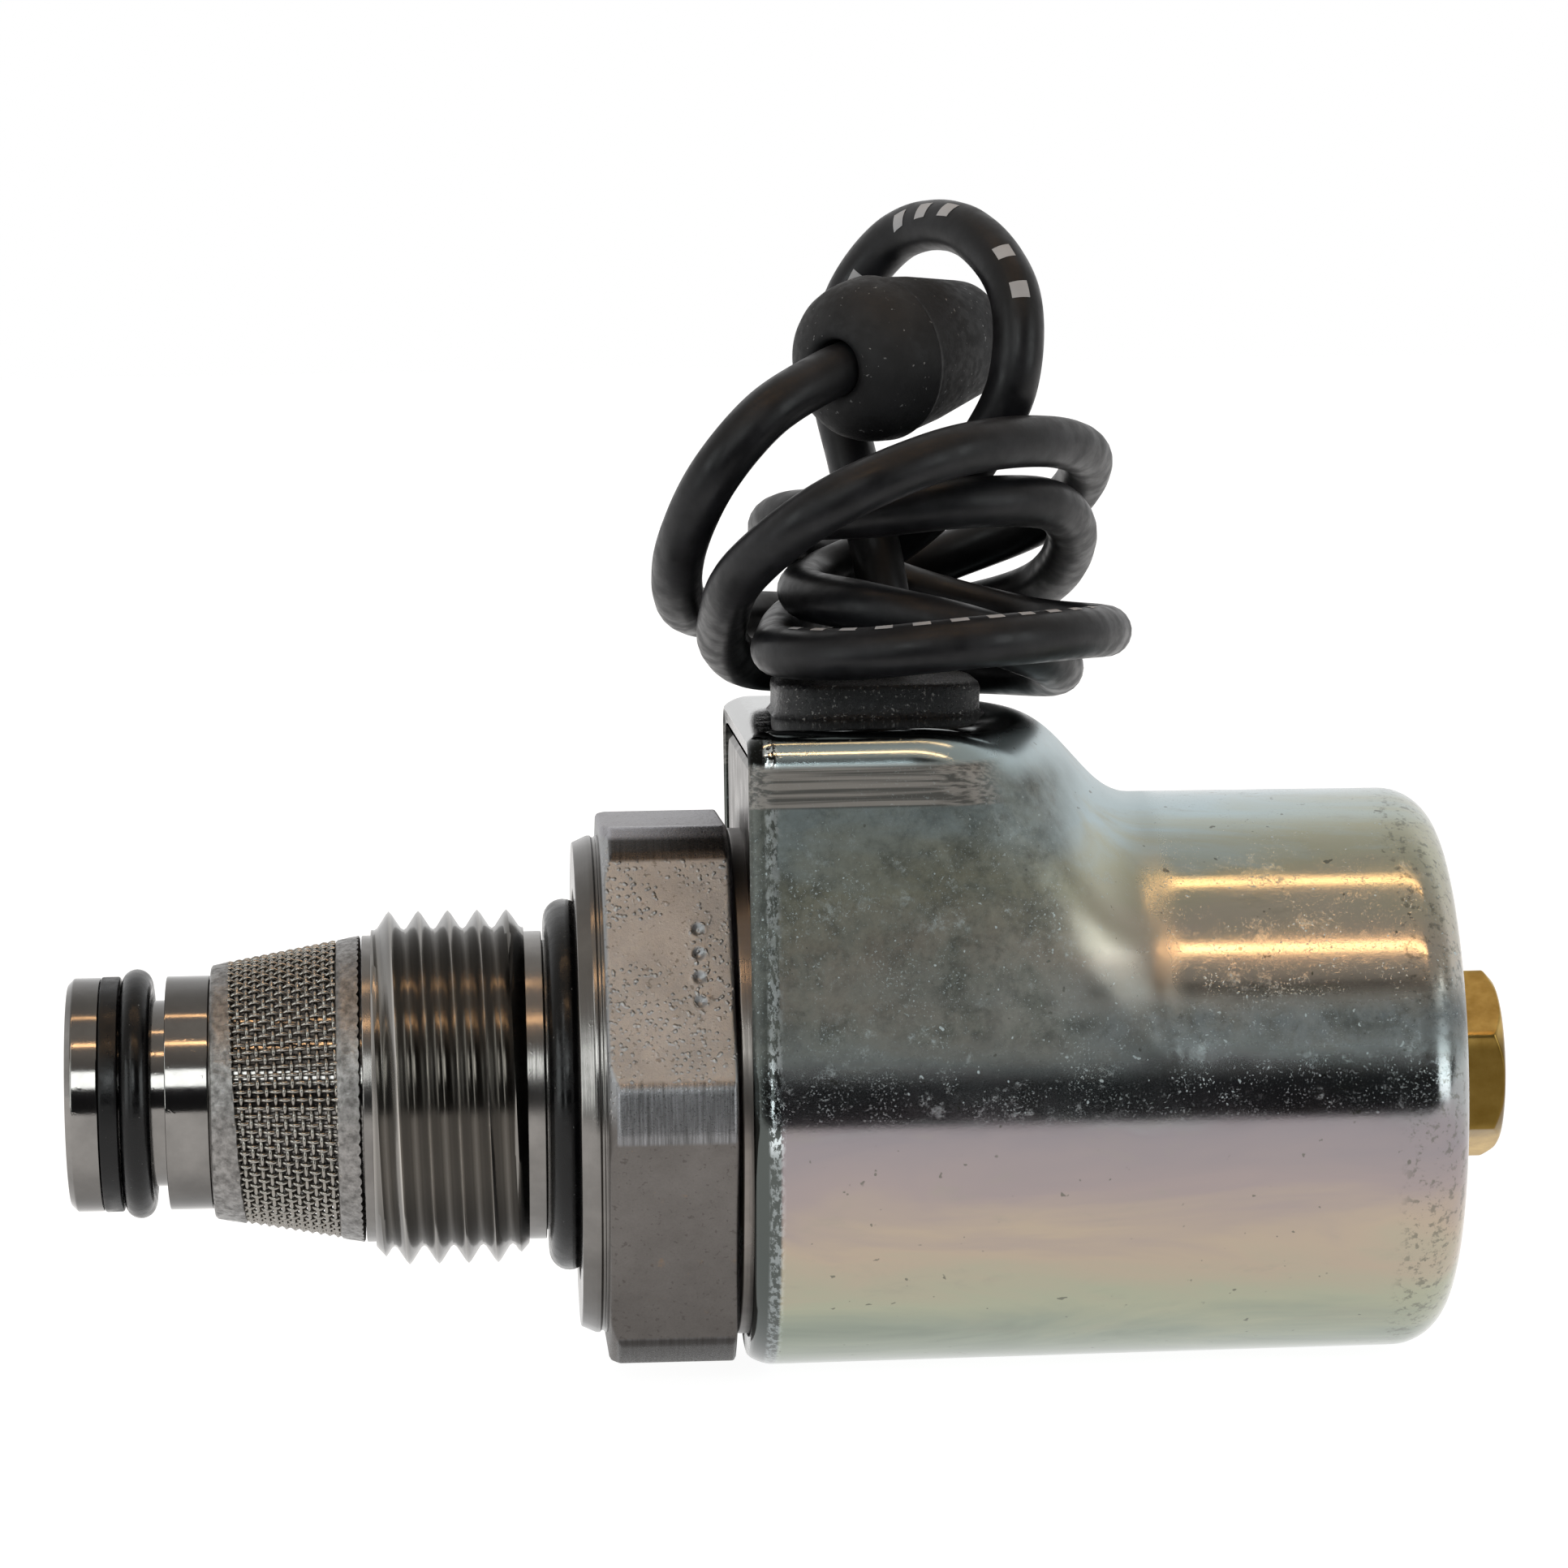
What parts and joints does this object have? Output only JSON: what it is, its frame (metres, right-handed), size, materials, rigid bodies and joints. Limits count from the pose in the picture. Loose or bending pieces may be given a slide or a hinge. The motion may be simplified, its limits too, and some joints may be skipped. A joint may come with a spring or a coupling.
{
  "type": "solenoid cartridge valve",
  "caption": "Screw-in solenoid cartridge valve: screened nose with seals, threaded hex body, and a round plated coil with a side boss, a looped lead and a rubber-booted connector.",
  "frame": {"origin": "on the valve's axis in the plane of the seat, the hex body's face that meets the manifold block", "axes": "-X along the valve's axis into the cavity, towards the nose; +X towards the coil and its nut; +Z towards the boss that the lead leaves"},
  "size_m": [0.0771, 0.0316, 0.0624],
  "materials": {
    "machined_steel": "turned and milled low-carbon steel, light oil film, satin",
    "ground_steel": "ground and hardened steel, semi-bright",
    "spring_steel": "bright spring steel",
    "screen_steel": "woven stainless wire cloth and rolled bands, satin",
    "zinc_plate": "zinc plate with clear iridescent passivation over drawn steel, glossy",
    "brass": "turned brass, satin",
    "copper_wire": "enamelled copper magnet wire, satin copper colour",
    "seal_rubber": "moulded nitrile, semi-gloss with an oil film",
    "backup_plastic": "filled PTFE back-up ring, satin",
    "nylon": "glass-filled nylon",
    "epoxy": "black potting compound with a rough, sparkling skin",
    "boot_rubber": "moulded rubber, matt and dusty",
    "lead_jacket": "extruded elastomer jacket, soft sheen"
  },
  "bodies": {
    "valve": {"valve_body": "machined_steel", "nose_cage": "machined_steel", "seat_insert": "ground_steel", "nose_backup_ring": "backup_plastic", "nose_o_ring": "seal_rubber", "screen_front_band": "screen_steel", "screen_mesh": "screen_steel", "screen_rear_band": "screen_steel", "port_o_ring": "seal_rubber", "tube_o_ring": "seal_rubber", "tube_clip": "spring_steel", "core_tube": "ground_steel", "pole_piece": "machined_steel", "plunger_spring": "spring_steel"},
    "poppet": {"main_poppet": "ground_steel"},
    "plunger": {"plunger": "ground_steel", "pilot_pin": "ground_steel"},
    "coil": {"coil_can": "zinc_plate", "flux_plate": "machined_steel", "bobbin": "nylon", "winding": "copper_wire", "winding_tape": "nylon", "lead_potting": "epoxy", "lead_splice": "copper_wire", "lead_grommet": "epoxy", "lead_wire": "lead_jacket", "connector_boot": "boot_rubber", "bullet_terminal": "brass"},
    "nut_carrier": {"nut_washer": "spring_steel"},
    "nut": {"coil_nut": "brass"}
  },
  "joints": [
    {"name": "plunger_lift", "type": "slide", "parent": "valve", "child": "plunger", "axis": [1, 0, 0], "range_m": [0, 0.002], "stiffness_N_per_m": 900, "springref_m": -0.003, "deforming": ["plunger_spring"]},
    {"name": "poppet_lift", "type": "slide", "parent": "valve", "child": "poppet", "axis": [1, 0, 0], "range_m": [0, 0.0016]},
    {"name": "coil_swivel", "type": "hinge", "parent": "valve", "child": "coil", "pos_m": [0, 0, 0], "axis": [1, 0, 0], "range_deg": [-90, 90]},
    {"name": "nut_travel", "type": "slide", "parent": "valve", "child": "nut_carrier", "axis": [1, 0, 0], "range_m": [0, 0.00198]},
    {"name": "nut_turn", "type": "hinge", "parent": "nut_carrier", "child": "nut", "pos_m": [0.048, 0, 0], "axis": [1, 0, 0], "range_deg": [0, 900]}
  ],
  "couplings": [
    {"joint": "poppet_lift", "follows": "plunger_lift", "ratio": 0.8},
    {"joint": "nut_turn", "follows": "nut_travel", "rad_per_m": 7915.8}
  ]
}
